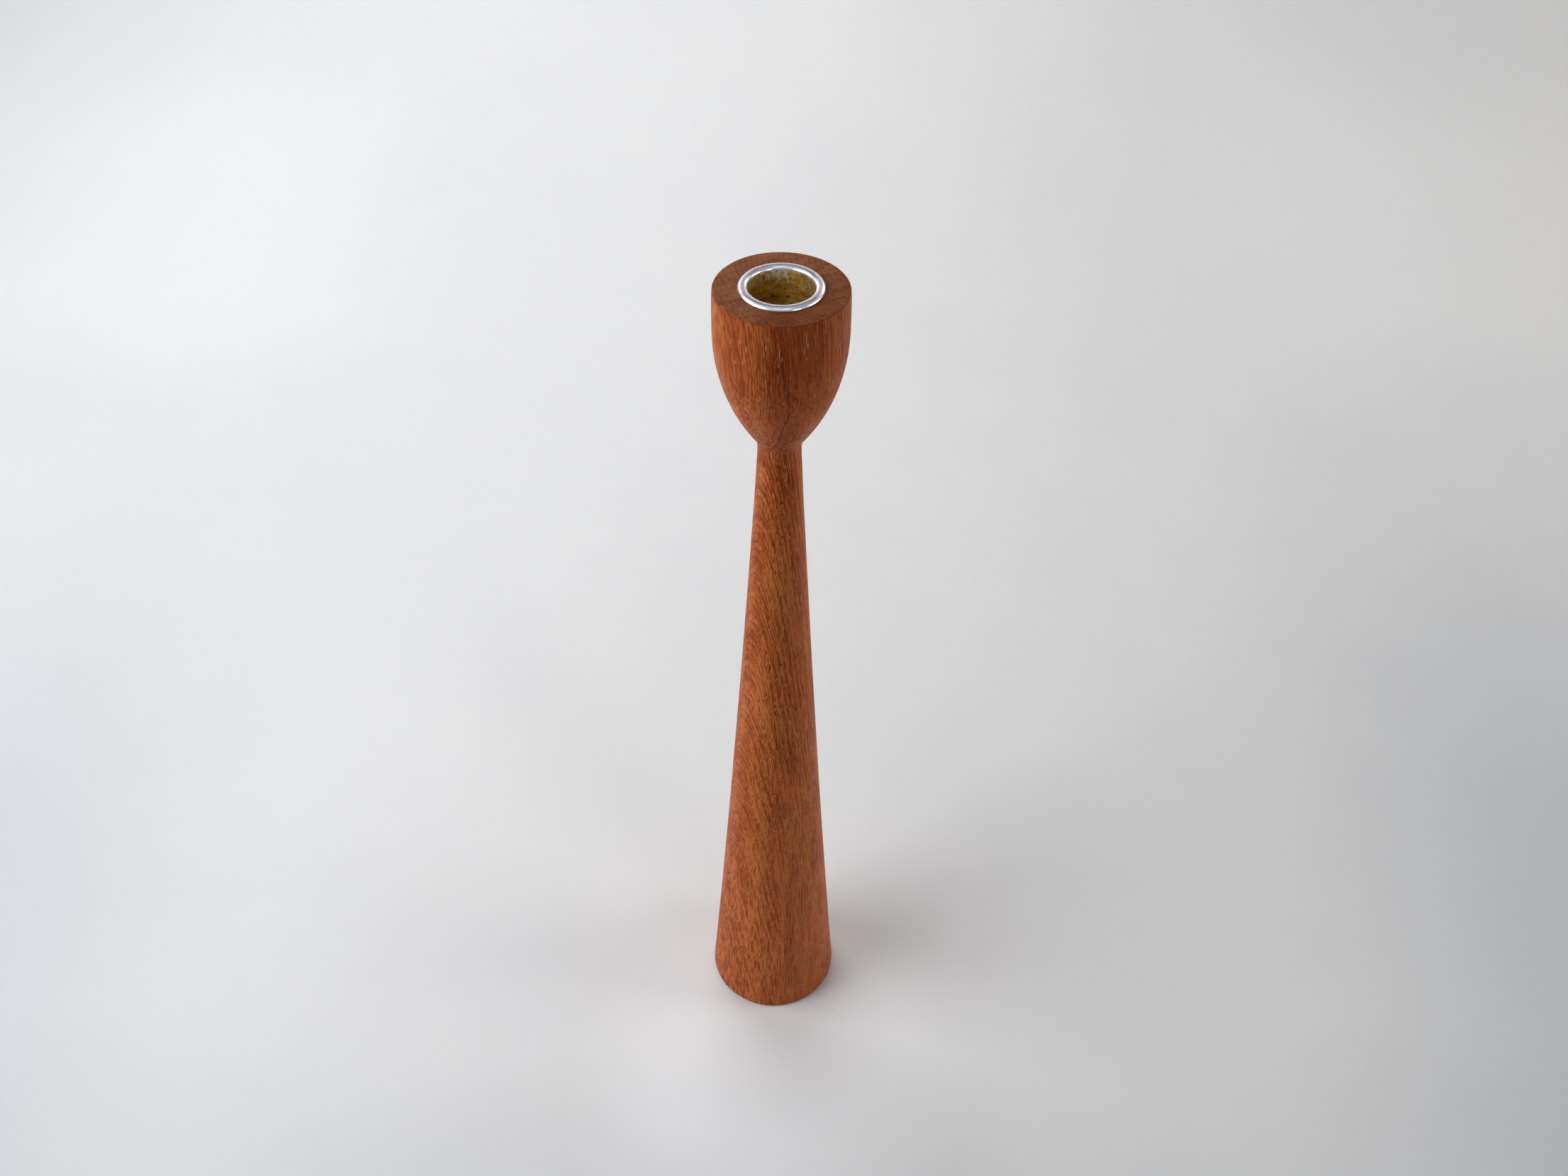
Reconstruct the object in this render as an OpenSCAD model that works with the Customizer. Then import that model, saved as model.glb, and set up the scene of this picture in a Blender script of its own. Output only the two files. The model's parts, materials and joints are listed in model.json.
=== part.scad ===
// Turned wooden candlestick with a pressed metal candle cup that lifts out of its bore.
// Millimetres. +Z is up, and the origin is the centre of the face it stands on.

/* [Turned body] */
// Height of the top of the head above the table
body_h = 407; // [380:1:430]
// Radius of the foot of the stem
base_r = 31; // [28:0.5:34]
// Rounding of the foot's lower edge
base_round = 1; // [0.5:0.1:2]
// Radius that the stem tapers to, before the blend with the head adds to it
neck_r = 7.6; // [6.5:0.1:10]
// How far the stem's side bows inwards from a straight taper
stem_hollow = 0.95; // [0:0.05:3]
// Size of the blend between the stem and the head
neck_blend = 1.7; // [0.5:0.1:4]

/* [Head] */
// Height of the head, from the end of the stem's taper up to the top face
head_h = 61.5; // [56:0.5:66]
// Widest radius of the head
head_r = 23.3; // [22:0.05:26]
// How far the widest point lies below the top face
head_drop = 16; // [8:0.5:20]
// Radius of the arc from the widest point down to the stem
head_arc_r = 75; // [70:1:90]
// How much smaller the top face's radius is than the widest radius
lip_inset = 0.35; // [0.1:0.05:1.5]
// Rounding of the top face's outer edge
lip_round = 0.5; // [0.3:0.1:1]

/* [Candle cup] */
// Inner radius of the cup, for a candle 22 mm across
socket_r = 11.25; // [11:0.05:11.5]
// Inner depth of the cup below the top face
socket_depth = 9.6; // [8:0.1:16]
// Thickness of the cup's metal
cup_wall = 0.5; // [0.4:0.05:0.8]
// Outer radius of the rolled rim
rim_r = 14.5; // [13.5:0.1:16]
// Height of the rolled rim above the top face
rim_h = 1.4; // [1:0.1:2]
// Inner radius of the corner between the cup's wall and its floor
cup_corner = 1; // [0.6:0.1:2]
// Gap all round between the cup and its bore
cup_gap = 0.08; // [0.05:0.01:0.2]
// Gap under the cup's floor
cup_floor_gap = 0.6; // [0.3:0.1:2]

/* [Felt pad] */
// Width of the ring of wood round the pad's recess
felt_margin = 4; // [3:0.5:6]
// Thickness of the pad
felt_t = 2; // [1:0.1:3]
// How far the pad stands out below the wood
felt_proud = 0.5; // [0.2:0.1:0.8]
// Gap round the pad in its recess
felt_gap = 0.15; // [0.1:0.05:0.5]

/* [Hidden] */
$fn = 128;
cut = 1;              // how far a cutting tool runs past the face it cuts
arc_steps = 6;        // segments in each small rounding
stem_step = 12;       // spacing of the outline's points along the stem
neck_step = 0.75;     // spacing of the outline's points round the neck
head_step = 2;        // spacing of the outline's points on the head
neck_reach = 9;       // how far the closely spaced points run each way from the neck
foot_z = felt_proud;
neck_z = body_h - head_h;
head_z = body_h - head_drop;
lip_r = head_r - lip_inset;
upper_arc_r = (pow(head_drop, 2) + pow(lip_inset, 2)) / (2 * lip_inset);
bore_r = socket_r + cup_wall + cup_gap;
bore_floor_z = body_h - socket_depth - cup_wall - cup_floor_gap;
recess_r = base_r - felt_margin;

// Points on an arc about [x, z]
function arc(x, z, r, from, to) =
    [for (i = [0 : arc_steps]) let (a = from + (to - from) * i / arc_steps) [x + r * cos(a), z + r * sin(a)]];

// Radius of the tapered stem: a straight line that bows in by stem_hollow half way up
function stem_radius(z) =
    let (t = z / neck_z) base_r + (neck_r - base_r) * t - 4 * stem_hollow * t * (1 - t);

// Radius of the head: one arc below its widest point and a much flatter one above it
function head_radius(z) =
    let (r = z < head_z ? head_arc_r : upper_arc_r)
    head_r - r + sqrt(max(0, pow(r, 2) - pow(z - head_z, 2)));

// The larger of the two radii, rounded where they cross
function side_radius(z) =
    let (stem = stem_radius(z), head = head_radius(z))
    (stem + head + sqrt(pow(stem - head, 2) + pow(neck_blend, 2))) / 2;

// Heights of the outline's points, close together where the curve is tight
function side_heights() = concat(
    [for (z = [foot_z + base_round + stem_step : stem_step : neck_z - neck_reach]) z],
    [for (z = [neck_z - neck_reach + neck_step : neck_step : neck_z + neck_reach]) z],
    [for (z = [neck_z + neck_reach + head_step : head_step : body_h - lip_round - head_step / 2]) z]);

module turned_body() {
    color([0.58, 0.31, 0.17])
        difference() {
            rotate_extrude()
                polygon(concat(
                    [[0, foot_z]],
                    arc(base_r - base_round, foot_z + base_round, base_round, -90, 0),
                    [for (z = side_heights()) [side_radius(z), z]],
                    arc(lip_r - lip_round, body_h - lip_round, lip_round, 0, 90),
                    [[0, body_h]]));
            translate([0, 0, bore_floor_z])
                cylinder(r = bore_r, h = body_h - bore_floor_z + cut);
            translate([0, 0, foot_z - cut])
                cylinder(r = recess_r, h = felt_t - felt_proud + cut);
        }
}

// One side of the arched section of the rolled rim, shrunk by an inset
function rim_arch(inset) =
    let (half = (rim_r - socket_r) / 2)
    [for (i = [0 : 2 * arc_steps]) let (a = 180 - 90 * i / arc_steps)
        [socket_r + half + (half - inset) * cos(a), body_h + (rim_h - inset) * sin(a)]];

function reversed(list) = [for (i = [len(list) - 1 : -1 : 0]) list[i]];

// The metal's section: the floor, the wall, and the rim that rolls outwards onto the wood
module candle_cup() {
    floor_z = body_h - socket_depth;
    corner = [socket_r - cup_corner, floor_z + cup_corner];
    color([0.82, 0.83, 0.85])
        rotate_extrude()
            polygon(concat(
                [[0, floor_z]],
                arc(corner[0], corner[1], cup_corner, -90, 0),
                rim_arch(0),
                reversed(rim_arch(cup_wall)),
                reversed(arc(corner[0], corner[1], cup_corner + cup_wall, -90, 0)),
                [[0, floor_z - cup_wall]]));
}

module felt_pad() {
    color([0.16, 0.17, 0.15])
        cylinder(r = recess_r - felt_gap, h = felt_t);
}

turned_body();
candle_cup();
felt_pad();
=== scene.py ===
# Looks of the turned wooden candlestick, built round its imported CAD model.
# Metres, +Z up, -Y towards the viewer.
import json
import math

import bpy
import numpy as np
from mathutils import Matrix, Vector, noise


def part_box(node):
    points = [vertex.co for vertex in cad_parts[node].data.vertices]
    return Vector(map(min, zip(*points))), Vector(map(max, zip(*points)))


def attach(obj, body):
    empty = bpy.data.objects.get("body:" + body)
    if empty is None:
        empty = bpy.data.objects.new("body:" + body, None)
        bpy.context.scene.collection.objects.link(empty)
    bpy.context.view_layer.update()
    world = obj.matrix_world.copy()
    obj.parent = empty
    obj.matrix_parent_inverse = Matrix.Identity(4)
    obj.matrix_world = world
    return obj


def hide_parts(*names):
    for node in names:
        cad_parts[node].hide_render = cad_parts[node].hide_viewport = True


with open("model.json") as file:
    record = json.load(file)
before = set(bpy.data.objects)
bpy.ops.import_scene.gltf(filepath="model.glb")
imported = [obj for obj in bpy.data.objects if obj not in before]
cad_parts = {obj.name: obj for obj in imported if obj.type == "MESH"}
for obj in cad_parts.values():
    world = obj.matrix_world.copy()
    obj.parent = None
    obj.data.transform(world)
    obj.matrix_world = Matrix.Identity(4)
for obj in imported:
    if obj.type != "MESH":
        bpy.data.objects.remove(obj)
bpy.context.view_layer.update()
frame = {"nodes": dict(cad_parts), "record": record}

MM = 0.001


def mm(*sizes):
    """Sizes in mm, as a tuple in metres."""
    return tuple(size * MM for size in sizes)


# ---------------------------------------------------------------- sizes and places, from the frame

wood_low, wood_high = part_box("turned_body")
cup_low, cup_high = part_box("candle_cup")
felt_low, felt_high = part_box("felt_pad")
mounts = {mount["name"]: mount for mount in frame["record"]["mounts"]}

top_z = wood_high.z
foot_z = wood_low.z
socket_r = mounts["candle_socket"]["dims"]["r_mm"] * MM
rim_r = cup_high.x
felt_r = felt_high.x
felt_top = felt_high.z


def cad_points(node):
    """The vertices of a CAD node, with their distance from the axis and their height."""
    co = np.array([v.co for v in frame["nodes"][node].data.vertices])
    return np.hypot(co[:, 0], co[:, 1]), np.round(co[:, 2], 6)


def outside_of(node):
    """The (radius, height) points of a turned CAD node's outside, from the bottom to the top."""
    r, z = cad_points(node)
    levels = np.unique(z)
    widest = np.array([r[z == level].max() for level in levels])
    beside = (np.append(widest[0], widest[:-1]) + np.append(widest[1:], widest[-1])) / 2
    own = widest > 0.95 * beside
    own[0] = own[-1] = True
    return np.stack([widest[own], levels[own]], 1)


def inner_radius(node, height):
    """The smallest radius among a CAD node's vertices at one height."""
    r, z = cad_points(node)
    return r[np.abs(z - height) < 0.01 * MM].min()


bore_r = inner_radius("turned_body", top_z)
wood_r, wood_z = cad_points("turned_body")
bore_floor_z = wood_z[np.abs(wood_r - bore_r) < 0.005 * MM].min()
recess_r = inner_radius("turned_body", foot_z)

# ---------------------------------------------------------------- mesh helpers


def curve_through(points, step):
    """A smooth curve through points. step(height) gives the spacing of the new points along it."""
    p = np.vstack([2 * points[0] - points[1], points, 2 * points[-1] - points[-2]])
    out = []
    for i in range(1, len(p) - 2):
        before, chord, after = (np.linalg.norm(p[j + 1] - p[j]) for j in (i - 1, i, i + 1))
        start = (p[i + 1] - p[i - 1]) / (before + chord) * chord
        end = (p[i + 2] - p[i]) / (chord + after) * chord
        t = np.linspace(0, 1, max(1, math.ceil(chord / step(p[i, 1]))), endpoint=False)[:, None]
        out.append(p[i] * (1 - 3 * t**2 + 2 * t**3) + p[i + 1] * (3 * t**2 - 2 * t**3)
                   + start * (t - 2 * t**2 + t**3) + end * (t**3 - t**2))
    return np.vstack(out + [points[-1:]])


def line(start, end, step):
    """Evenly spaced points from start up to, but not including, end."""
    start, end = np.array(start, float), np.array(end, float)
    t = np.linspace(0, 1, max(1, math.ceil(np.linalg.norm(end - start) / step)), endpoint=False)
    return start + (end - start) * t[:, None]


def arc(centre, radii, start, end, count):
    """Points on an ellipse from the start angle up to, but not including, the end angle, in degrees."""
    a = np.radians(np.linspace(start, end, count, endpoint=False))
    return np.stack([centre[0] + radii[0] * np.cos(a), centre[1] + radii[1] * np.sin(a)], 1)


def turned_grid(path, angles):
    """The points of path swept round Z, as rows by angles by 3. Angles run from -Y towards +X, in radians."""
    co = np.empty((len(path), len(angles), 3))
    co[:, :, 0] = path[:, :1] * np.sin(angles)
    co[:, :, 1] = path[:, :1] * -np.cos(angles)
    co[:, :, 2] = path[:, 1:]
    return co


def closed_turning(grid):
    """Vertices and faces of a closed solid from a grid whose first and last rows are capped on the axis."""
    rows, across = grid.shape[:2]
    index = np.arange(rows * across).reshape(rows, across)
    beside = np.roll(index, -1, 1)
    quads = np.stack([index[:-1], beside[:-1], beside[1:], index[1:]], -1).reshape(-1, 4)
    poles = np.array([[0, 0, grid[0, :, 2].mean()], [0, 0, grid[-1, :, 2].mean()]])
    low, high = rows * across, rows * across + 1
    first = [(low, b, a) for a, b in zip(index[0], beside[0])]
    last = [(high, a, b) for a, b in zip(index[-1], beside[-1])]
    return np.vstack([grid.reshape(-1, 3), poles]), quads.tolist() + first + last


def add_piece(name, co, faces, material, body=None, replaces=None):
    """A smooth mesh object with one material, and what it stands for in the frame."""
    mesh = bpy.data.meshes.new(name)
    mesh.from_pydata(co.tolist(), [], faces)
    mesh.shade_smooth()
    mesh.materials.append(material)
    obj = bpy.data.objects.new(name, mesh)
    bpy.context.scene.collection.objects.link(obj)
    if body:
        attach(obj, body)
    if replaces:
        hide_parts(replaces)
    return obj


def store(obj, name, values):
    """Keeps one number per vertex on a mesh, for its material. Vertices past the last value get 0."""
    full = np.zeros(len(obj.data.vertices), np.float32)
    full[:len(values)] = values
    obj.data.attributes.new(name, "FLOAT", "POINT").data.foreach_set("value", full)


def rough_noise(co, grain, octaves=3, seed=0.0):
    """Smooth noise of about -1 to 1 at each point. grain is its size, one number or one for each axis."""
    places = co.reshape(-1, 3) / np.array(grain) + seed
    values = [noise.fractal(Vector(place), 1.0, 2.0, octaves) for place in places]
    return np.array(values).reshape(co.shape[:-1])


# ---------------------------------------------------------------- material helper


class Graph:
    """A material's node tree round one Principled shader."""

    def __init__(self, name):
        self.material = bpy.data.materials.new(name)
        self.material.use_nodes = True
        self.tree = self.material.node_tree
        self.tree.nodes.clear()
        self.shader = self.add("ShaderNodeBsdfPrincipled")
        out = self.add("ShaderNodeOutputMaterial")
        self.tree.links.new(self.shader.outputs[0], out.inputs[0])
        self.place = self.add("ShaderNodeTexCoord")

    def add(self, kind, inputs=None, **settings):
        node = self.tree.nodes.new(kind)
        for key, value in settings.items():
            setattr(node, key, value)
        for key, value in (inputs or {}).items():
            self.put(node.inputs[key], value)
        return node

    def put(self, socket, value):
        if isinstance(value, bpy.types.NodeSocket):
            self.tree.links.new(value, socket)
        else:
            socket.default_value = value

    def set(self, **inputs):
        """Sets the shader's inputs. An underscore in a name stands for a space."""
        for key, value in inputs.items():
            self.put(self.shader.inputs[key.replace("_", " ")], value)

    def math(self, operation, *values, clamp=False):
        inputs = dict(enumerate(values))
        return self.add("ShaderNodeMath", inputs, operation=operation, use_clamp=clamp).outputs[0]

    def plus(self, first, second, clamp=False):
        return self.math("ADD", first, second, clamp=clamp)

    def minus(self, first, second, clamp=False):
        return self.math("SUBTRACT", first, second, clamp=clamp)

    def times(self, first, second):
        return self.math("MULTIPLY", first, second)

    def larger(self, first, second):
        return self.math("MAXIMUM", first, second)

    def centred(self, value, strength):
        """A value of 0 to 1, moved to lie about 0 and then scaled."""
        return self.times(self.minus(value, 0.5), strength)

    def less(self, value, amount):
        """1 less a share of value."""
        return self.minus(1.0, self.times(value, amount))

    def vector(self, operation, *values):
        node = self.add("ShaderNodeVectorMath", dict(enumerate(values)), operation=operation)
        return node.outputs[1 if operation in ("LENGTH", "DOT_PRODUCT", "DISTANCE") else 0]

    def turned(self, value, angle):
        """A vector turned about Z."""
        inputs = {"Vector": value, "Angle": angle}
        return self.add("ShaderNodeVectorRotate", inputs, rotation_type="Z_AXIS").outputs[0]

    def grained(self, position, size):
        """position in units of a grain size, one number for each axis, in metres."""
        return self.vector("MULTIPLY", position, tuple(1 / s for s in size))

    def noise(self, position, size, detail=2.0, rough=0.5):
        """Noise of 0 to 1, about 0.5 on average."""
        inputs = {"Vector": self.grained(position, size), "Scale": 1.0, "Detail": detail}
        inputs["Roughness"] = rough
        return self.add("ShaderNodeTexNoise", inputs).outputs[0]

    def noise3(self, position, size, detail=1.0):
        """Three noises of -0.5 to 0.5, as a vector."""
        inputs = {"Vector": self.grained(position, size), "Scale": 1.0, "Detail": detail}
        colour = self.add("ShaderNodeTexNoise", inputs).outputs[1]
        return self.vector("SUBTRACT", colour, (0.5, 0.5, 0.5))

    def cells(self, position, size):
        """Distance to the nearest cell centre, in cells, and three random numbers of that cell."""
        inputs = {"Vector": self.grained(position, size), "Scale": 1.0, "Randomness": 1.0}
        node = self.add("ShaderNodeTexVoronoi", inputs)
        chance = self.add("ShaderNodeSeparateColor", {0: node.outputs["Color"]})
        return node.outputs["Distance"], chance.outputs

    def between(self, value, low, high, to_low=0.0, to_high=1.0, kind="SMOOTHSTEP"):
        inputs = {0: value, 1: low, 2: high, 3: to_low, 4: to_high}
        return self.add("ShaderNodeMapRange", inputs, interpolation_type=kind).outputs[0]

    def ramp(self, value, *stops):
        """A colour ramp through (position, colour) stops. A colour is three numbers, linear."""
        node = self.add("ShaderNodeValToRGB", {0: value})
        elements = node.color_ramp.elements
        while len(elements) < len(stops):
            elements.new(0.5)
        for element, (position, colour) in zip(elements, stops):
            element.position = position
            element.color = (*colour, 1)
        return node.outputs[0]

    def mix(self, fraction, first, second, blend="MIX"):
        node = self.add("ShaderNodeMix", {0: fraction}, data_type="RGBA", blend_type=blend)
        for socket, colour in ((node.inputs[6], first), (node.inputs[7], second)):
            self.put(socket, colour if isinstance(colour, bpy.types.NodeSocket) else (*colour, 1))
        return node.outputs[2]

    def attribute(self, name):
        return self.add("ShaderNodeAttribute", attribute_name=name).outputs["Fac"]

    def bump(self, height, distance, strength, under=None):
        inputs = {"Height": height, "Distance": distance, "Strength": strength}
        if under:
            inputs["Normal"] = under
        return self.add("ShaderNodeBump", inputs).outputs[0]


# ---------------------------------------------------------------- wood

# The log that the candlestick was cut from: which way its growth rings face, and which way its fibres run
RING_NORMAL = Vector((-0.777, -0.629, -0.085)).normalized()
FIBRE = Vector((-0.066, -0.054, 0.996)).normalized()
PITH_AWAY = 90 * MM
RING_WIDTH = 1.9 * MM
BAND_WIDTH = 0.62 * MM
# How far the rings turn leftwards, down to the foot and up the head
TWIST, HEAD_TWIST = math.radians(16), math.radians(13)
HEAD_TURNS = (335 * MM, 385 * MM)
# Below this height the grain right of this line closes in on it, by this much at the table
PINCH_FROM, PINCH_X, PINCH_SOFT, PINCH = 150 * MM, 3 * MM, 4 * MM, 1.7
# The heights over which the figure changes from the foot to the stem, and from the stem to the head
FOOT_TO_STEM = (50 * MM, 190 * MM)
STEM_TO_HEAD = (345 * MM, 362 * MM)

WOOD_PALE = (0.485, 0.138, 0.035)
WOOD_MIDDLE = (0.298, 0.054, 0.0066)
WOOD_DARK = (0.128, 0.022, 0.002)
END_PALE = (0.412, 0.146, 0.057)
END_DARK = (0.205, 0.062, 0.023)
VESSEL_DARK = (0.095, 0.017, 0.002)
VESSEL_PALE = (0.52, 0.155, 0.042)
FILL_PALE = (0.58, 0.28, 0.11)
# Tint for the painted shade on the front and right of the head, and for a patchy darker band just under the
# top edge
SHADE_AND_LIP_TINT = (0.62, 0.45, 0.28)
# Painted shade inside the cracks, pits and chips, and along the foot's bottom edge next to its felt
CRACK_SHADE = (0.035, 0.013, 0.005)
FLECK_COLOUR = (0.50, 0.34, 0.21)

# Small pits and chips, painted dark as the shade inside them: (degrees right of the front, height in mm,
# radius in mm)
PITS = (
    (7.2, 317, 0.5), (-4.6, 262, 0.45), (7.2, 241, 0.6), (3.2, 212, 0.5), (-59, 3.5, 1.3), (70, 13, 0.9),
)


def log_place(g, here, x, z, twist):
    """Each point's place in the log: along the rings, out from the pith, and along the fibres."""
    side = RING_NORMAL.cross(FIBRE).normalized()
    out = FIBRE.cross(side).normalized()
    turn = Matrix((side, out, FIBRE)).to_euler()
    beyond = g.math("SMOOTH_MAX", g.minus(x, PINCH_X), 0, PINCH_SOFT)
    closing = g.times(beyond, g.between(z, PINCH_FROM, 0, 0, PINCH, kind="LINEAR"))
    log = g.vector("ADD", here, g.add("ShaderNodeCombineXYZ", {0: closing}).outputs[0])
    inputs = {"Vector": g.turned(log, twist), "Location": (0, PITH_AWAY, 0), "Rotation": turn}
    log = g.add("ShaderNodeMapping", inputs).outputs[0]
    bend = g.vector("MULTIPLY", g.noise3(log, mm(60, 60, 110)), mm(5, 2.5, 0))
    return g.vector("ADD", log, bend)


def pits_chips_and_foot_shade(g, here, z, outline):
    """Painted shade in the pits and chips, and along the foot's bottom edge where it meets its felt, 0 to 1.
    """
    dark = g.between(z, foot_z + 1.2 * MM, foot_z + 0.4 * MM, 0, 0.6)
    for degree, height, size in PITS:
        r, turn = np.interp(height * MM, outline[:, 1], outline[:, 0]), math.radians(degree)
        away = g.vector("DISTANCE", here, (r * math.sin(turn), -r * math.cos(turn), height * MM))
        dark = g.larger(dark, g.between(away, size * MM, 0.5 * size * MM))
    return dark


def wood_material(outline):
    g = Graph("oiled_hardwood")
    here, normal = g.place.outputs["Object"], g.place.outputs["Normal"]
    apart = g.add("ShaderNodeSeparateXYZ", {0: here})
    x, z = apart.outputs[0], apart.outputs[2]
    down = g.between(z, top_z, foot_z, kind="LINEAR")
    twist = g.plus(g.times(g.math("POWER", down, 2.0), TWIST), g.between(z, *HEAD_TURNS, 0, HEAD_TWIST))
    log = log_place(g, here, x, z, twist)

    # the rings, rippled more along than across, with their dark late wood and pale early wood
    wave = g.noise(log, mm(7, 7, 26), 2)
    depth = g.vector("LENGTH", g.vector("MULTIPLY", log, (1, 1, 0)))
    depth = g.plus(depth, g.centred(wave, 0.6 * MM))
    wriggle = g.noise3(log, mm(3.4, 3.4, 8), 2)
    depth = g.plus(depth, g.vector("DOT_PRODUCT", wriggle, mm(0, 0.26, 0)))
    drift = g.times(g.noise(log, mm(14, 14, 60)), 1.6)
    ring = g.math("FRACT", g.plus(g.math("DIVIDE", depth, RING_WIDTH), drift))
    late = g.times(g.between(ring, 0.55, 0.78), g.between(ring, 1.0, 0.93))
    early = g.times(g.between(ring, 0.0, 0.06), g.between(ring, 0.32, 0.14))
    strong = g.between(g.noise(log, mm(5, 5, 38), 2), 0.34, 0.62, 0.25, 1.0)
    figure = g.times(g.between(z, *FOOT_TO_STEM, 0.8, 1.0), g.between(z, *STEM_TO_HEAD, 1.0, 0.6))
    lines = g.times(g.minus(g.times(late, 0.34), g.times(early, 0.24)), g.times(strong, figure))
    band_wave = g.math("SINE", g.times(g.math("DIVIDE", depth, BAND_WIDTH), 2 * math.pi))
    plain = g.noise(log, mm(4, 4, 30), 2)
    band = g.times(g.between(band_wave, 0.1, 0.9), g.between(plain, 0.3, 0.65, 0.3, 1.0))
    log = g.vector("ADD", log, g.vector("MULTIPLY", wriggle, mm(1.5, 0.3, 0)))

    # where the surface lies flat along the rings, their edges show and the fibres hardly do
    flat = g.between(g.vector("DOT_PRODUCT", g.turned(normal, twist), tuple(RING_NORMAL)), 0.80, 0.98)
    crisp = g.times(g.between(z, *FOOT_TO_STEM, 0.4, 1.0), g.between(z, *STEM_TO_HEAD, 1.0, 0.85))
    fine = g.times(crisp, g.less(flat, 0.4))
    fibre = g.noise(log, mm(0.28, 0.28, 26), 3, 0.65)
    streak = g.noise(log, mm(0.95, 0.95, 30), 2, 0.6)
    patch = g.noise(log, mm(9, 9, 45), 2)
    edges = g.times(g.times(band, figure), g.minus(0.50, g.times(flat, 0.20)))
    shade = g.plus(g.times(lines, g.less(flat, 0.5)), edges)
    shade = g.plus(shade, g.centred(fibre, g.times(fine, 3.0)))
    shade = g.plus(shade, g.centred(streak, g.between(z, 190 * MM, 60 * MM, 0.9, 2.2)))
    shade = g.plus(shade, g.centred(patch, 1.0))
    shade = g.plus(shade, g.math("MULTIPLY_ADD", flat, 0.10, 0.12))
    long_grain = g.ramp(shade, (0.0, WOOD_PALE), (0.42, WOOD_MIDDLE), (1.0, WOOD_DARK))

    # end grain shows on the top face and a little where the head narrows
    end = g.between(g.math("ABSOLUTE", g.vector("DOT_PRODUCT", normal, tuple(FIBRE))), 0.60, 0.98)
    dash = g.noise(log, mm(1.7, 0.34, 9), 3, 0.6)
    blotch = g.noise(log, mm(2.4, 8, 9), 2)
    end_shade = g.plus(g.times(late, 0.25), g.between(dash, 0.36, 0.68, 0.1, 0.9))
    end_shade = g.plus(end_shade, g.between(blotch, 0.3, 0.7, -0.3, 0.3))
    colour = g.mix(end, long_grain, g.ramp(end_shade, (0.0, END_PALE), (1.0, END_DARK)))

    # vessels: long dark and pale strokes, more dark ones in the early part of a ring
    distance, cell = g.cells(log, mm(0.46, 0.46, 40))
    stroke = g.between(distance, 0.40, 0.24)
    dark = g.times(stroke, g.math("LESS_THAN", cell[0], g.between(ring, 0.0, 0.6, 0.40, 0.18)))
    pale = g.times(stroke, g.math("GREATER_THAN", cell[0], 0.72))
    side_on = g.times(fine, g.less(end, 0.85))
    colour = g.mix(g.times(dark, side_on), colour, VESSEL_DARK)
    colour = g.mix(g.times(pale, side_on), colour, VESSEL_PALE)

    # short bright flecks of filler in the pores, most of them on the head's sides
    distance, cell = g.cells(log, mm(0.72, 0.72, 4.5))
    many = g.minus(g.between(z, *STEM_TO_HEAD, 0.15, 0.27), g.times(end, 0.26))
    fill = g.times(g.between(distance, 0.28, 0.16), g.math("LESS_THAN", cell[1], many))
    colour = g.mix(g.times(fill, 0.75), colour, FILL_PALE)

    # painted shade darkens the front of the head and its right side, and a patchy band just under the top
    # edge is darker too
    lip_patches = g.noise(here, mm(5, 5, 1.5), 3)
    lip = g.times(g.between(z, top_z - 1.1 * MM, top_z - 0.3 * MM), g.between(lip_patches, 0.35, 0.6))
    shade_and_lip = g.larger(g.attribute("stain_and_shade"), g.times(g.minus(lip, end, clamp=True), 0.7))
    colour = g.mix(shade_and_lip, colour, SHADE_AND_LIP_TINT, "MULTIPLY")

    smear = g.noise(here, mm(2.4, 2.4, 2.4), 5, 0.6)
    fleck = g.larger(g.attribute("fleck"), g.times(g.between(smear, 0.66, 0.80, 0, 0.5), end))
    # painted shade in the cracks, pits and chips, and along the foot's bottom edge
    crack = g.larger(g.attribute("crack"), pits_chips_and_foot_shade(g, here, z, outline))
    colour = g.mix(crack, colour, CRACK_SHADE)
    colour = g.mix(fleck, colour, FLECK_COLOUR)
    g.set(Base_Color=colour, IOR=1.47, Specular_IOR_Level=0.15, Specular_Tint=(1.0, 0.70, 0.45, 1))

    vessel = g.larger(dark, fill)
    worn = g.noise(here, mm(6, 6, 14), 3)
    rough = g.plus(g.between(worn, 0.3, 0.7, 0.44, 0.58), g.times(vessel, 0.2))
    g.set(Roughness=g.plus(rough, g.times(end, 0.14), clamp=True))
    height = g.minus(g.times(fibre, 0.5), g.times(vessel, 0.8))
    height = g.minus(height, g.times(band, 0.4))
    g.set(Normal=g.bump(height, 0.14 * MM, 0.8))
    return g.material


# Courses of the cracks in the wood: (degrees right of the front, height above the table in mm)
MAIN_CRACK = (
    (6.5, 395), (6.8, 389), (6.7, 381), (7.9, 374), (8.5, 370), (6.9, 367), (3.9, 364.5), (2.2, 359),
    (-3, 353.5), (-12, 348),
)
SHORT_CRACK = ((22, 360.5), (21.4, 358.5), (20, 354))
CRACK_WIDTH = 0.13 * MM
CRACK_DEPTH = 0.25 * MM
CRACK_WANDER = 0.22 * MM
# How wide the main crack is open: (share of its length, share of full width)
CRACK_OPEN = ((0, 0.5), (0.3, 0.75), (0.5, 0.95), (0.8, 0.75), (1, 0.35))
# Radius at which distances from a crack are measured
CRACK_R = 17 * MM

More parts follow.
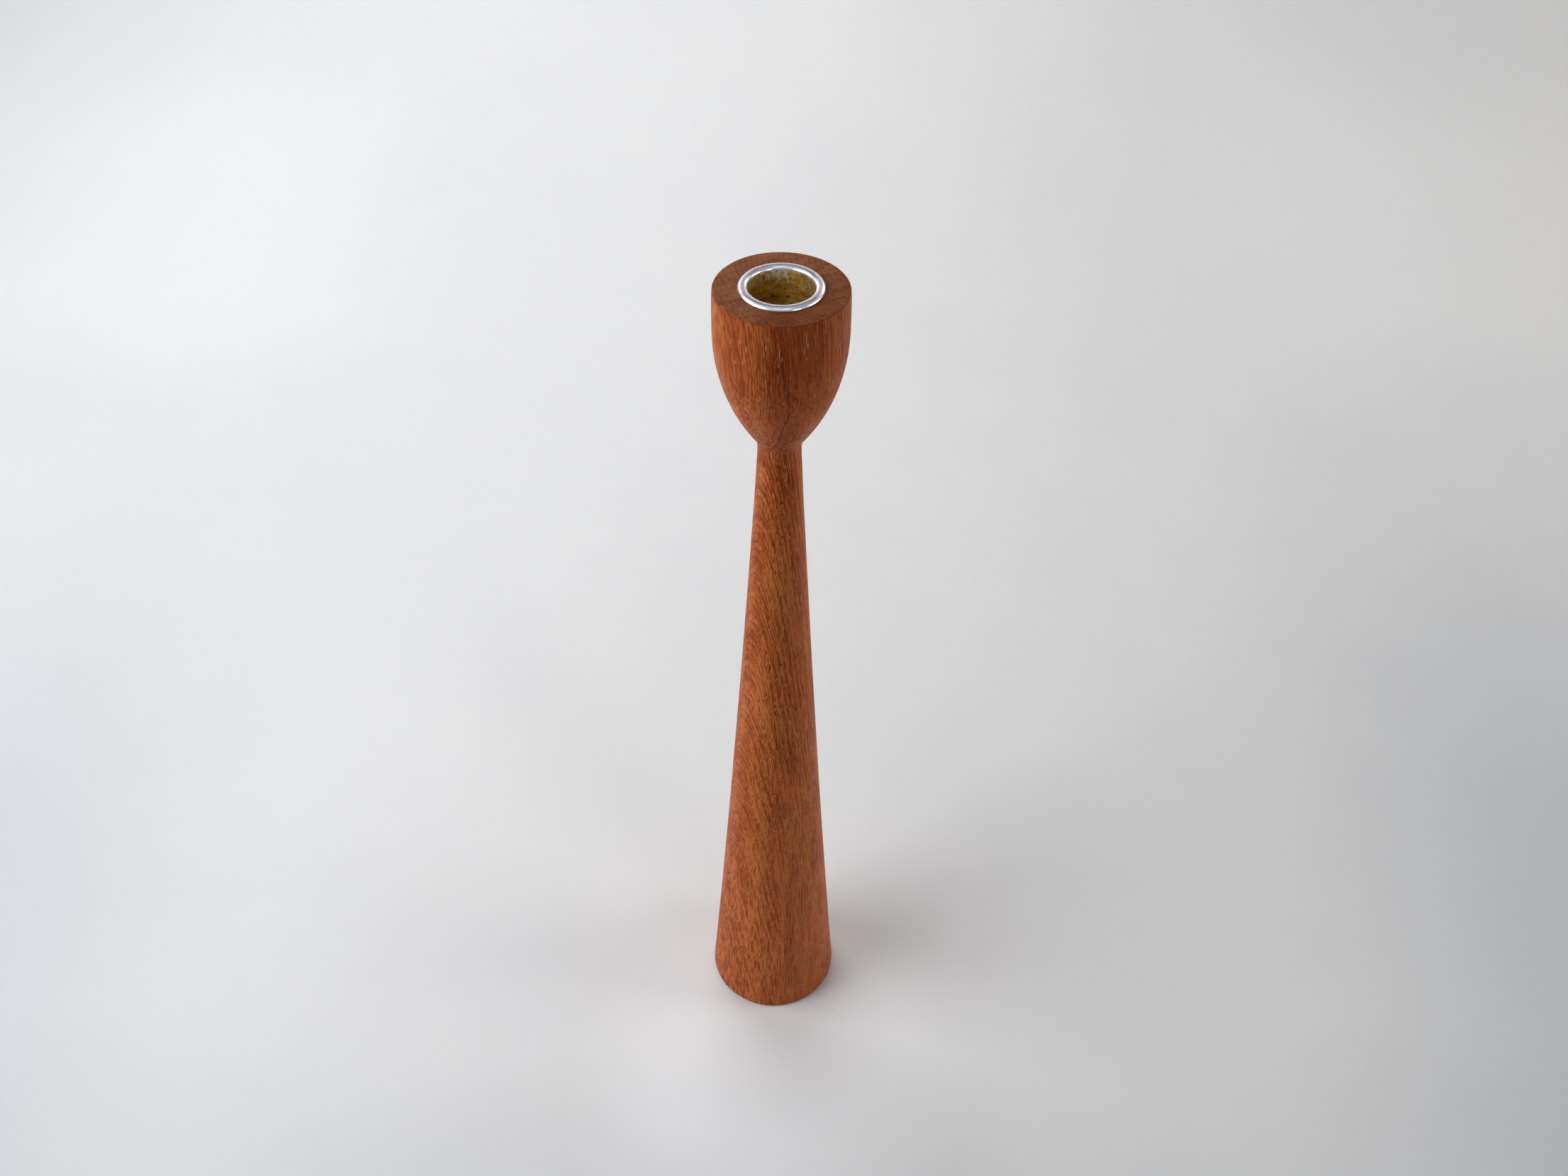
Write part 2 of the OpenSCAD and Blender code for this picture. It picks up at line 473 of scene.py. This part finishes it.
# Whitish flecks of old wax: (degrees right of the front, height in mm, half their width, half their length)
FLECKS = (
    (7.9, 388, 0.3, 0.6), (3.4, 376.5, 0.3, 0.5), (6, 375, 0.2, 0.3), (8, 373, 0.3, 0.3),
    (11.7, 368, 0.4, 0.6), (14, 366.5, 0.35, 0.4), (10, 348, 0.15, 0.5), (20.5, 401, 0.25, 3.2),
    (19, 397, 0.2, 1.6), (22, 399, 0.15, 1.8), (21, 394.5, 0.2, 1.2), (19.6, 403.5, 0.2, 1.2),
    (-12, 399, 0.25, 1.8), (-10, 402, 0.2, 1.4), (-13.5, 396, 0.2, 1.6), (-11.2, 402, 0.15, 1.0),
    (-1, 397, 0.2, 2.2), (-2.6, 400, 0.15, 1.4), (0.8, 395, 0.2, 1.6), (-1.6, 392.5, 0.15, 1.0),
)
FLECK_RAISED = 0.05 * MM

# Painted shade on the front of the head: degrees right of the front, and how far it spreads
SHADE_TURN, SHADE_SPREAD = 4, 26
# How dark the painted shade is: (height in mm, share)
SHADE_HEIGHTS = ((300, 0), (345, 0.25), (362, 0.55), (392, 1), (407, 0.9))

# Columns round the wood: degrees between which they lie close together, and both spacings
FRONT_FROM, FRONT_TO = -24, 28
FINE_ANGLE, COARSE_ANGLE = 0.5, 3.0
# Rows up its outside: (height that each spacing starts above, spacing), in mm, finest where the cracks are
ROW_STEPS = ((top_z / MM - 1.5, 0.1), (372, 0.8), (346, 0.25), (335, 0.5), (12, 3), (0, 1))
# How uneven the turning is, and how wide the edge of its bore and recess is broken
UNEVEN = 0.04 * MM
BROKEN_EDGE = 0.25 * MM


def wood_row_step(height):
    """Spacing of the rows up the wood's outside at one height."""
    return next(step * MM for start, step in ROW_STEPS if height > start * MM)


def wood_angles():
    """Columns round the wood, closer together at the front, where the cracks are."""
    fine = np.arange(FRONT_FROM, FRONT_TO, FINE_ANGLE)
    count = round((360 - FRONT_TO + FRONT_FROM) / COARSE_ANGLE)
    rest = np.linspace(FRONT_TO, 360 + FRONT_FROM, count, endpoint=False)
    return np.radians(np.append(fine, rest))


def along_crack(degrees, height, course):
    """Each surface point's distance from a crack's course in metres, and how far along it that is, 0 to 1."""
    course = np.array(course, float) * (1, MM)
    best = np.full(degrees.shape, 1.0)
    place = np.zeros(degrees.shape)
    for i in range(len(course) - 1):
        (a0, z0), (a1, z1) = course[i], course[i + 1]
        x, y = np.radians(degrees - a0) * CRACK_R, height - z0
        dx, dy = math.radians(a1 - a0) * CRACK_R, z1 - z0
        t = np.clip((x * dx + y * dy) / (dx * dx + dy * dy), 0, 1)
        d = np.hypot(x - t * dx, y - t * dy)
        nearer = d < best
        best[nearer] = d[nearer]
        place[nearer] = (i + t[nearer]) / (len(course) - 1)
    return best, place


def crack_depths(grid, degrees, height, radius):
    """How deep the cracks are at each surface point, 0 to 1."""
    wander = np.degrees(CRACK_WANDER / np.maximum(radius, 5 * MM)) * rough_noise(grid, 1.6 * MM, 3, 3.0)
    main, place = along_crack(degrees + wander, height, MAIN_CRACK)
    short, _ = along_crack(degrees + wander, height, SHORT_CRACK)
    is_open = np.interp(place, *zip(*CRACK_OPEN))
    is_open = is_open * np.clip(1.1 + 0.6 * rough_noise(grid, 2.5 * MM, 2, 9.0), 0.2, 1.2)
    width = CRACK_WIDTH * (0.6 + 0.6 * is_open)
    crack = is_open * np.exp(-(main / width) ** 2) + 0.7 * np.exp(-(short / (0.8 * CRACK_WIDTH)) ** 2)
    return np.clip(crack, 0, 1)


def fleck_cover(grid, degrees, height, radius):
    """How thickly the flecks cover each surface point, 0 to 1."""
    fleck = np.zeros(degrees.shape)
    ragged = 0.75 * rough_noise(grid, 0.5 * MM, 3, 17.0)
    for degree, z, half_width, half_length in FLECKS:
        across = np.radians(degrees - degree) * radius
        away = np.hypot(across / half_width, (height - z * MM) / half_length) / MM
        fleck = np.maximum(fleck, np.clip(1.3 - 1.8 * away + ragged, 0, 1) * (away < 1.5))
    return fleck


def painted_head_shade(degrees, height):
    """How much painted shade darkens each surface point, 0 to 1. It reaches further to the right."""
    beside = degrees - SHADE_TURN
    spread = np.exp(-(beside / SHADE_SPREAD) ** 2)
    across = np.where(beside < 0, spread, 0.6 + 0.4 * spread) * np.interp(beside, (90, 150), (1, 0))
    return across * np.interp(height / MM, *zip(*SHADE_HEIGHTS))


def build_wood():
    outline = curve_through(outside_of("turned_body"), wood_row_step)
    edge = BROKEN_EDGE
    path = np.vstack([
        line((1 * MM, felt_top), (recess_r, felt_top), 2 * MM),
        line((recess_r, felt_top), (recess_r, foot_z + edge), 0.5 * MM),
        line((recess_r, foot_z + edge), (recess_r + edge, foot_z), 0.1 * MM),
        line((recess_r + edge, foot_z), outline[0], 0.5 * MM),
        outline,
        line(outline[-1], (bore_r + edge, top_z), 0.5 * MM)[1:],
        line((bore_r + edge, top_z), (bore_r, top_z - edge), 0.1 * MM),
        line((bore_r, top_z - edge), (bore_r, bore_floor_z), 0.8 * MM),
        line((bore_r, bore_floor_z), (1 * MM, bore_floor_z), 1.5 * MM),
    ])
    angles = wood_angles()
    grid = turned_grid(path, angles)
    degrees = np.degrees(angles)[None, :] + np.zeros((len(path), 1))
    degrees = (degrees + 180) % 360 - 180
    height = grid[:, :, 2].copy()
    radius = np.hypot(grid[:, :, 0], grid[:, :, 1])
    outer_r = np.interp(height, outline[:, 1], outline[:, 0])
    outside = (radius > outer_r - 0.05 * MM) & (height > foot_z + 0.2 * MM)

    crack = crack_depths(grid, degrees, height, radius) * outside
    fleck = fleck_cover(grid, degrees, height, radius) * outside
    sink = UNEVEN * (1 + rough_noise(grid, 25 * MM, 2)) * outside + CRACK_DEPTH * crack - FLECK_RAISED * fleck
    grid[:, :, :2] *= (1 - sink / np.maximum(radius, 1 * MM))[:, :, None]

    co, faces = closed_turning(grid)
    wood = add_piece("turned_wood", co, faces, wood_material(outline), "candlestick", "turned_body")
    store(wood, "crack", crack.ravel())
    store(wood, "fleck", fleck.ravel())
    # painted shade on the front and right of the head
    store(wood, "stain_and_shade", painted_head_shade(degrees, height).ravel())


# ---------------------------------------------------------------- candle cup

CUP_WALL = 0.5 * MM
CUP_CORNER = 1.0 * MM
CUP_UNEVEN = 0.015 * MM
WAX_THICK = 0.12 * MM
# Degrees between the columns of points round the cup
CUP_ANGLE = 1.25

METAL_BRIGHT = (0.95, 0.94, 0.97)
METAL_DULL = (0.76, 0.75, 0.82)
INSIDE_OLIVE = (0.92, 0.645, 0.15)
INSIDE_BROWN = (0.67, 0.395, 0.08)
# Dark spots of the film, and painted shade in the cup's corner, at its right and near its mouth
INSIDE_DIRT_AND_SHADE = (0.10, 0.05, 0.010)
WAX_PALE = (0.86, 0.80, 0.68)
CRUMB_BROWN = (0.18, 0.070, 0.020)

# Dark crumbs lying in the corner at the far side of the cup's floor: (mm right of the middle, size in mm)
CRUMBS = ((-2.9, 0.50), (2.3, 0.45), (-7.2, 0.40), (-6.4, 0.35), (-5.6, 0.28), (-2.2, 0.30))

# Wax on the wall. Turns are degrees right of the front, and heights are mm above the cup's underside.
# A slanting run: (turn, height) at each end, and half its width in degrees
WAX_RUN = ((203, 2.6), (170, 9.2))
WAX_RUN_SPREAD = 3.2
# Patches, thickest at one turn and high on the wall: the turn, how far they spread, and their heights
PATCH_TURN, PATCH_SPREAD = 188, 36
PATCH_FROM, PATCH_FULL = 4.5, 7.5
# Fine wax flecks at two turns, pale so that they also stand in for glints there, as painted highlights:
# (turn, share), and how far they spread
GLINT_SPECKS = ((118, 1.0), (245, 0.8))
GLINT_SPREAD = 18


def inside_film(g, here, x, z, radius):
    """The cup's inside: a mottled film with dark spots, and painted shade in its corner, at its right and
    near its mouth.
    """
    stain_and_shade = g.noise(here, mm(2.6, 2.6, 2), 4, 0.65)
    spots = g.noise(here, mm(1.3, 1.3, 1.6), 3, 0.6)
    film = g.mix(g.between(stain_and_shade, 0.38, 0.60), INSIDE_OLIVE, INSIDE_BROWN)
    film = g.mix(g.between(spots, 0.52, 0.70, 0, 0.75), film, INSIDE_DIRT_AND_SHADE)
    # painted shade in the corner of the cup's floor
    low = g.between(z, cup_low.z + 2.2 * MM, cup_low.z + 0.7 * MM, 0, 0.3)
    corner = g.times(low, g.between(radius, socket_r - 2.2 * MM, socket_r - 0.8 * MM))
    # painted shade in that corner and over the right of the inside
    film = g.mix(g.larger(corner, g.between(x, 3 * MM, 11 * MM, 0, 0.75)), film, INSIDE_DIRT_AND_SHADE)
    # painted shade up the wall towards the mouth, under the rim
    return g.mix(g.between(z, cup_low.z + 3 * MM, top_z, 0, 0.4), film, INSIDE_DIRT_AND_SHADE)


def cup_material():
    g = Graph("candle_cup_metal")
    here = g.place.outputs["Object"]
    apart = g.add("ShaderNodeSeparateXYZ", {0: here})
    x, z = apart.outputs[0], apart.outputs[2]
    radius = g.vector("LENGTH", g.vector("MULTIPLY", here, (1, 1, 0)))
    smear = g.noise(here, mm(3, 3, 2), 4, 0.65)
    metal = g.mix(g.between(smear, 0.35, 0.75), METAL_BRIGHT, METAL_DULL)
    within = g.times(g.between(radius, socket_r + 0.25 * MM, socket_r + 0.10 * MM),
                     g.between(z, top_z + 0.3 * MM, top_z - 0.4 * MM))
    wax = g.attribute("wax")
    crumb = g.attribute("crumb")
    colour = g.mix(within, metal, inside_film(g, here, x, z, radius))
    colour = g.mix(wax, colour, WAX_PALE)
    colour = g.mix(crumb, colour, CRUMB_BROWN)
    residue = g.larger(wax, crumb)
    g.set(Base_Color=colour, Metallic=g.times(g.less(within, 0.85), g.minus(1.0, residue)))
    g.set(IOR=1.45, Specular_IOR_Level=0.15)
    rough = g.plus(g.between(smear, 0.3, 0.75, 0.22, 0.40), g.times(within, 0.30))
    g.set(Roughness=g.plus(rough, g.times(residue, 0.2), clamp=True))
    dents = g.bump(g.noise(here, mm(2.2, 2.2, 1.2), 2), 0.12 * MM, 0.5)
    scratch = g.noise(here, mm(0.25, 3.5, 0.8), 3, 0.7)
    g.set(Normal=g.bump(scratch, 0.02 * MM, 0.35, dents))
    return g.material


def lump(centre, size, seed):
    """Vertices and faces of a small irregular lump."""
    around = np.radians(np.arange(0, 360, 30))
    profile = arc((0, 0), (size, 0.45 * size), -75, 90, 7)
    grid = turned_grid(profile, around)
    grid *= 1 + 0.35 * rough_noise(grid, size, 2, seed)[:, :, None]
    co, faces = closed_turning(grid)
    return co + np.array(centre), faces


def hump(degrees, middle, spread):
    """1 at one turn round the cup, falling smoothly to 0 either side of it."""
    return np.exp(-((degrees - middle) / spread) ** 2)


def wax_on_wall(grid):
    """How thickly wax clings to the inside of the cup's wall, 0 to 1."""
    degrees = np.degrees(np.arctan2(grid[:, :, 0], -grid[:, :, 1])) % 360
    height = grid[:, :, 2]
    radius = np.hypot(grid[:, :, 0], grid[:, :, 1])
    wall = np.abs(radius - socket_r) < 0.02 * MM
    wall &= (height > cup_low.z + 2 * MM) & (height < top_z - 0.3 * MM)
    level = (height - cup_low.z) / MM
    ragged = rough_noise(grid, mm(0.9, 0.9, 1.6), 3, 21.0)
    fine = rough_noise(grid, 0.45 * MM, 2, 33.0)

    (low_turn, low_z), (high_turn, high_z) = WAX_RUN
    run_turn = np.interp(level, (low_z, high_z), (low_turn, high_turn))
    run = 1.1 - np.abs(degrees - run_turn) / WAX_RUN_SPREAD + 0.8 * ragged
    run = np.where((level > low_z) & (level < high_z), run, 0)
    upper = np.interp(level, (PATCH_FROM, PATCH_FULL), (0, 1))
    patches = (ragged + 1.1 * upper * hump(degrees, PATCH_TURN, PATCH_SPREAD) - 0.66) * 1.8
    # pale wax flecks at two turns, partly painted highlights standing in for glints
    beside = sum(share * hump(degrees, turn, GLINT_SPREAD) for turn, share in GLINT_SPECKS)
    glint_specks = (fine * beside - 0.36) * 4
    return np.clip(np.maximum(np.maximum(run, patches), glint_specks), 0, 1) * wall


def build_cup():
    floor_z = cup_low.z + CUP_WALL
    outer_r = socket_r + CUP_WALL
    turn_r = socket_r - CUP_CORNER
    bead = ((socket_r + rim_r) / 2, top_z)
    bead_out = ((rim_r - socket_r) / 2, cup_high.z - top_z)
    bead_in = (bead_out[0] - CUP_WALL, bead_out[1] - CUP_WALL)
    path = np.vstack([
        line((1 * MM, cup_low.z), (turn_r, cup_low.z), 1 * MM),
        arc((turn_r, floor_z + CUP_CORNER), [CUP_CORNER + CUP_WALL] * 2, -90, 0, 6),
        line((outer_r, floor_z + CUP_CORNER), (outer_r, top_z), 0.6 * MM),
        arc(bead, bead_in, 180, 0, 16),
        line((rim_r - CUP_WALL, top_z), (rim_r, top_z), 0.17 * MM),
        arc(bead, bead_out, 0, 180, 34),
        line((socket_r, top_z), (socket_r, floor_z + CUP_CORNER), 0.35 * MM),
        arc((turn_r, floor_z + CUP_CORNER), [CUP_CORNER] * 2, 0, -90, 8),
        line((turn_r, floor_z), (1 * MM, floor_z), 0.4 * MM),
    ])
    grid = turned_grid(path, np.radians(np.arange(0, 360, CUP_ANGLE)))
    wax = wax_on_wall(grid)
    inwards = WAX_THICK * wax + CUP_UNEVEN * (1 + rough_noise(grid, 5 * MM, 2))
    grid[:, :, :2] *= (1 - inwards / rim_r)[:, :, None]
    co, faces = closed_turning(grid)
    crumb = np.zeros(len(co))
    far_r = turn_r + 0.3 * MM
    for i, (across, size) in enumerate(CRUMBS):
        x = across * MM
        place = (x, math.sqrt(far_r**2 - x**2), floor_z + 0.35 * size * MM)
        lump_co, lump_faces = lump(place, size * MM, 3.0 * i)
        faces += [tuple(len(co) + v for v in face) for face in lump_faces]
        co = np.vstack([co, lump_co])
        crumb = np.append(crumb, np.ones(len(lump_co)))
    cup = add_piece("cup_spun", co, faces, cup_material(), "cup", "candle_cup")
    store(cup, "wax", wax.ravel())
    store(cup, "crumb", crumb)


# ---------------------------------------------------------------- felt pad

FELT_DARK = (0.014, 0.016, 0.013)
FELT_PALE = (0.045, 0.048, 0.042)
FELT_EDGE = 0.35 * MM
FELT_FRAY = 0.08 * MM


def felt_material():
    g = Graph("pressed_felt")
    here = g.place.outputs["Object"]
    fuzz = g.noise(here, mm(0.30, 0.30, 0.30), 5, 0.7)
    tuft = g.noise(here, mm(2.5, 2.5, 1), 3)
    shade = g.plus(g.times(fuzz, 0.7), g.times(tuft, 0.3))
    g.set(Base_Color=g.ramp(shade, (0.3, FELT_DARK), (0.75, FELT_PALE)), Roughness=0.95)
    g.set(Sheen_Weight=0.35, Sheen_Roughness=0.5)
    g.set(Normal=g.bump(fuzz, 0.25 * MM, 0.9))
    return g.material


def build_felt():
    edge, low, high = FELT_EDGE, felt_low.z, felt_high.z
    path = np.vstack([
        line((1 * MM, low), (felt_r - edge, low), 0.8 * MM),
        arc((felt_r - edge, low + edge), (edge, edge), -90, 0, 5),
        line((felt_r, low + edge), (felt_r, high - edge), 0.3 * MM),
        arc((felt_r - edge, high - edge), (edge, edge), 0, 90, 5),
        line((felt_r - edge, high), (1 * MM, high), 1.5 * MM),
    ])
    grid = turned_grid(path, np.radians(np.arange(0, 360, 1.0)))
    fray = FELT_FRAY * (1 + rough_noise(grid, 0.8 * MM, 3, 5.0))
    radius = np.hypot(grid[:, :, 0], grid[:, :, 1])
    pull = np.where(radius > felt_r - 0.5 * MM, fray, 0) / radius
    grid[:, :, :2] *= (1 - pull)[:, :, None]
    co, faces = closed_turning(grid)
    add_piece("felt_disc", co, faces, felt_material(), "candlestick", "felt_pad")


# ---------------------------------------------------------------- studio

# The paper: where its floor starts to curve up, the radius of the curve, its top and half its width
SWEEP_Y = 0.42
SWEEP_R = 0.60
WALL_TOP = 2.4
FLOOR_HALF = 1.6

PAPER = (0.80, 0.80, 0.81)
PAPER_PALE = (0.82, 0.82, 0.825)
# Painted shade on the paper near its sides and along its front, and painted light on its far sides and round
# the front of the foot
PAPER_SHADE_SIDES = (0.73, 0.755, 0.785)
PAPER_SHADE_FRONT = (0.90, 0.905, 0.91)
PAPER_LIGHT_FAR_SIDES = (0.88, 0.88, 0.885)
PAPER_LIGHT_BY_FOOT = (0.90, 0.905, 0.92)
LIGHT_PATCH_CENTRE = (0, -0.07, 0)


def backdrop_material():
    g = Graph("paper_backdrop")
    here = g.place.outputs["Object"]
    apart = g.add("ShaderNodeSeparateXYZ", {0: here})
    aside, back = g.math("ABSOLUTE", apart.outputs[0]), apart.outputs[1]
    cloud = g.noise(here, mm(90, 90, 90), 3)
    # painted shade near the sides and along the front; painted light on the far sides and round the front of
    # the foot
    shade_sides = g.times(g.between(aside, 0.24, 0.49), g.between(back, 0.50, -0.05))
    far = g.times(g.between(back, 0.45, 0.62), g.between(back, 0.86, 0.72))
    light_by_foot = g.between(g.vector("DISTANCE", here, LIGHT_PATCH_CENTRE), 0.110, 0.025)
    paper = g.ramp(cloud, (0.3, PAPER), (0.7, PAPER_PALE))
    paper = g.mix(shade_sides, paper, PAPER_SHADE_SIDES, "MULTIPLY")
    paper = g.mix(g.between(back, -0.02, -0.13), paper, PAPER_SHADE_FRONT, "MULTIPLY")
    paper = g.mix(g.times(far, g.between(aside, 0.25, 0.50)), paper, PAPER_LIGHT_FAR_SIDES)
    paper = g.mix(light_by_foot, paper, PAPER_LIGHT_BY_FOOT)
    g.set(Base_Color=paper, Roughness=0.75, Specular_IOR_Level=0.25)
    return g.material


def build_studio():
    """A paper sweep: flat under the candlestick, curving up into a wall behind it."""
    bend = arc((SWEEP_Y, SWEEP_R), (SWEEP_R, SWEEP_R), -90, 0, 40)
    wall_y = SWEEP_Y + SWEEP_R
    profile = np.vstack([[(-FLOOR_HALF, 0)], bend, [(wall_y, SWEEP_R), (wall_y, WALL_TOP)]])
    co = np.array([(x, y, z) for y, z in profile for x in (-FLOOR_HALF, FLOOR_HALF)])
    faces = [(2 * i, 2 * i + 1, 2 * i + 3, 2 * i + 2) for i in range(len(profile) - 1)]
    add_piece("backdrop", co, faces, backdrop_material())


def add_light(name, place, aim, size, watts, colour=(1, 1, 1), lit=True, mirrored=True):
    """A square soft box, seen by no camera. lit: it lights surfaces. mirrored: it shows in glossy ones."""
    data = bpy.data.lights.new(name, "AREA")
    data.shape = "SQUARE"
    data.size = size
    data.energy = watts
    data.color = colour
    obj = bpy.data.objects.new(name, data)
    obj.location = place
    obj.rotation_euler = (Vector(aim) - Vector(place)).to_track_quat("-Z", "Y").to_euler()
    obj.visible_camera = False
    obj.visible_diffuse = lit
    obj.visible_glossy = mirrored
    bpy.context.scene.collection.objects.link(obj)


ROOM_MIRRORED = (0.32, 0.32, 0.38, 1)
ROOM_SEEN = (0.62, 0.62, 0.63, 1)
COOL = (0.97, 0.985, 1.0)
WARM = (1.0, 0.97, 0.93)


def build_lights():
    add_light("window_high", (-0.94, -0.165, 0.70), (0, 0, 0.2), 0.9, 9.0, COOL)
    add_light("window_low", (-0.93, -0.54, 0.38), (0, 0, 0.2), 0.9, 3.5, COOL)
    add_light("overhead", (-0.2, 0.8, 0.9), (-0.1, 0.6, 0), 0.8, 5.2, mirrored=False)
    add_light("ceiling", (0, -0.9, 1.7), (0, 0, 0.4), 1.1, 2.2, lit=False)
    add_light("left_card", (-0.65, 0.8, 0.7), (0, 0, 0.4), 0.65, 1.2, lit=False)
    add_light("right_card", (0.65, 0.8, 0.7), (0, 0, 0.4), 0.65, 1.2, lit=False)
    add_light("far_right", (1.47, 0, 0.46), (0, 0, 0.2), 0.7, 8.8, WARM)
    add_light("front_right", (0.40, -0.48, 0.50), (0, 0, 0.2), 0.15, 0.4)
    build_room()


def build_room():
    """The room beyond the paper: pale to the eye, dim in glossy surfaces, and lighting nothing."""
    world = bpy.data.worlds.new("room")
    world.use_nodes = True
    nodes, links = world.node_tree.nodes, world.node_tree.links
    path = nodes.new("ShaderNodeLightPath")
    seen = path.outputs["Is Camera Ray"]
    colour = nodes.new("ShaderNodeMixRGB")
    colour.inputs[1].default_value = ROOM_MIRRORED
    colour.inputs[2].default_value = ROOM_SEEN
    strength = nodes.new("ShaderNodeMath")
    links.new(seen, colour.inputs[0])
    links.new(seen, strength.inputs[0])
    links.new(path.outputs["Is Glossy Ray"], strength.inputs[1])
    links.new(colour.outputs[0], nodes["Background"].inputs["Color"])
    links.new(strength.outputs[0], nodes["Background"].inputs["Strength"])
    bpy.context.scene.world = world


CAMERA_PLACE = Vector((0, -0.3898, 0.6478))
CAMERA_YAW, CAMERA_PITCH, CAMERA_ROLL = (math.radians(a) for a in (0.36, 44.04, 0.97))
CAMERA_LENS, CAMERA_SENSOR = 31.5, 36


def build_camera():
    """Yaw turns the camera right of +Y, pitch is how far it looks down, and roll tips its right side up."""
    data = bpy.data.cameras.new("camera")
    data.lens = CAMERA_LENS
    data.sensor_width = CAMERA_SENSOR
    data.clip_start = 0.01
    level = Vector((math.cos(CAMERA_YAW), -math.sin(CAMERA_YAW), 0))
    forward = Vector((math.sin(CAMERA_YAW), math.cos(CAMERA_YAW), 0))
    ahead = forward * math.cos(CAMERA_PITCH) - Vector((0, 0, math.sin(CAMERA_PITCH)))
    above = level.cross(ahead)
    right = level * math.cos(CAMERA_ROLL) + above * math.sin(CAMERA_ROLL)
    up = above * math.cos(CAMERA_ROLL) - level * math.sin(CAMERA_ROLL)
    obj = bpy.data.objects.new("camera", data)
    obj.matrix_world = Matrix.Translation(CAMERA_PLACE) @ Matrix((right, up, -ahead)).transposed().to_4x4()
    bpy.context.scene.collection.objects.link(obj)
    bpy.context.scene.camera = obj


build_wood()
build_cup()
build_felt()
build_studio()
build_lights()
build_camera()
bpy.context.scene.view_settings.view_transform = "Standard"
